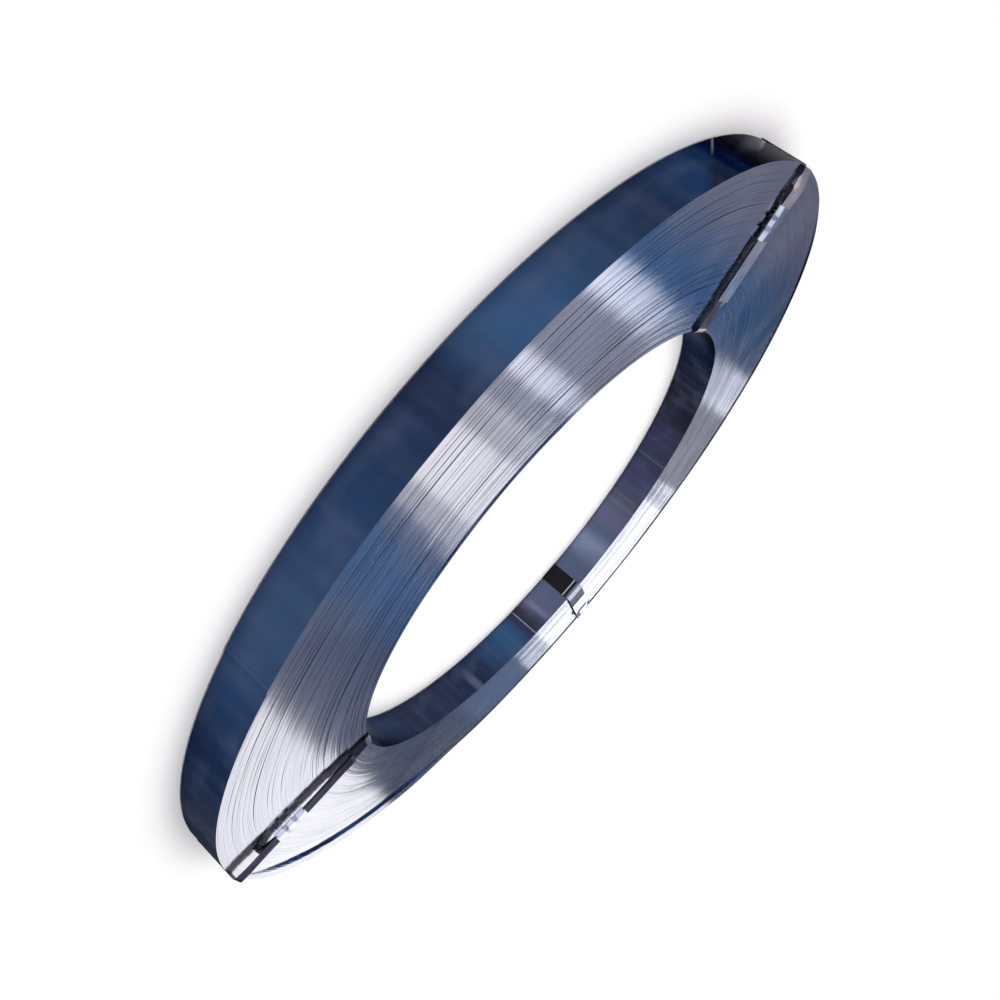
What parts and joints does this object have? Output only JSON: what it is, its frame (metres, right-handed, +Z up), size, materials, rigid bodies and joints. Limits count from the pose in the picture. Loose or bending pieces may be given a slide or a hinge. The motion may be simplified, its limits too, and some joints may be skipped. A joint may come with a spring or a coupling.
{
  "type": "steel strapping coil",
  "caption": "Flat ribbon-wound coil of blued steel strapping with an open bore, its turns' edges on both faces, tied by crossing binding straps with crimped seals.",
  "frame": {"origin": "on the floor, on the coil's own axis, below the middle of the bore", "axes": "+Z up along the coil's axis through the bore, +X and +Y in the plane of the coil; azimuths run from +X towards +Y, and the picture looks from the -Y side"},
  "size_m": [0.649, 0.6495, 0.0388],
  "materials": {
    "blued_strip": "blued strip faces, bright slit edges",
    "binding_steel": "smooth dull steel",
    "seal_steel": "bright crimped sheet"
  },
  "bodies": {
    "root": {"coil": "blued_strip", "binding_strap_1": "binding_steel", "binding_strap_2": "binding_steel", "binding_strap_3": "binding_steel", "binding_seal_1": "seal_steel", "binding_seal_2": "seal_steel", "binding_seal_3": "seal_steel"}
  },
  "joints": []
}
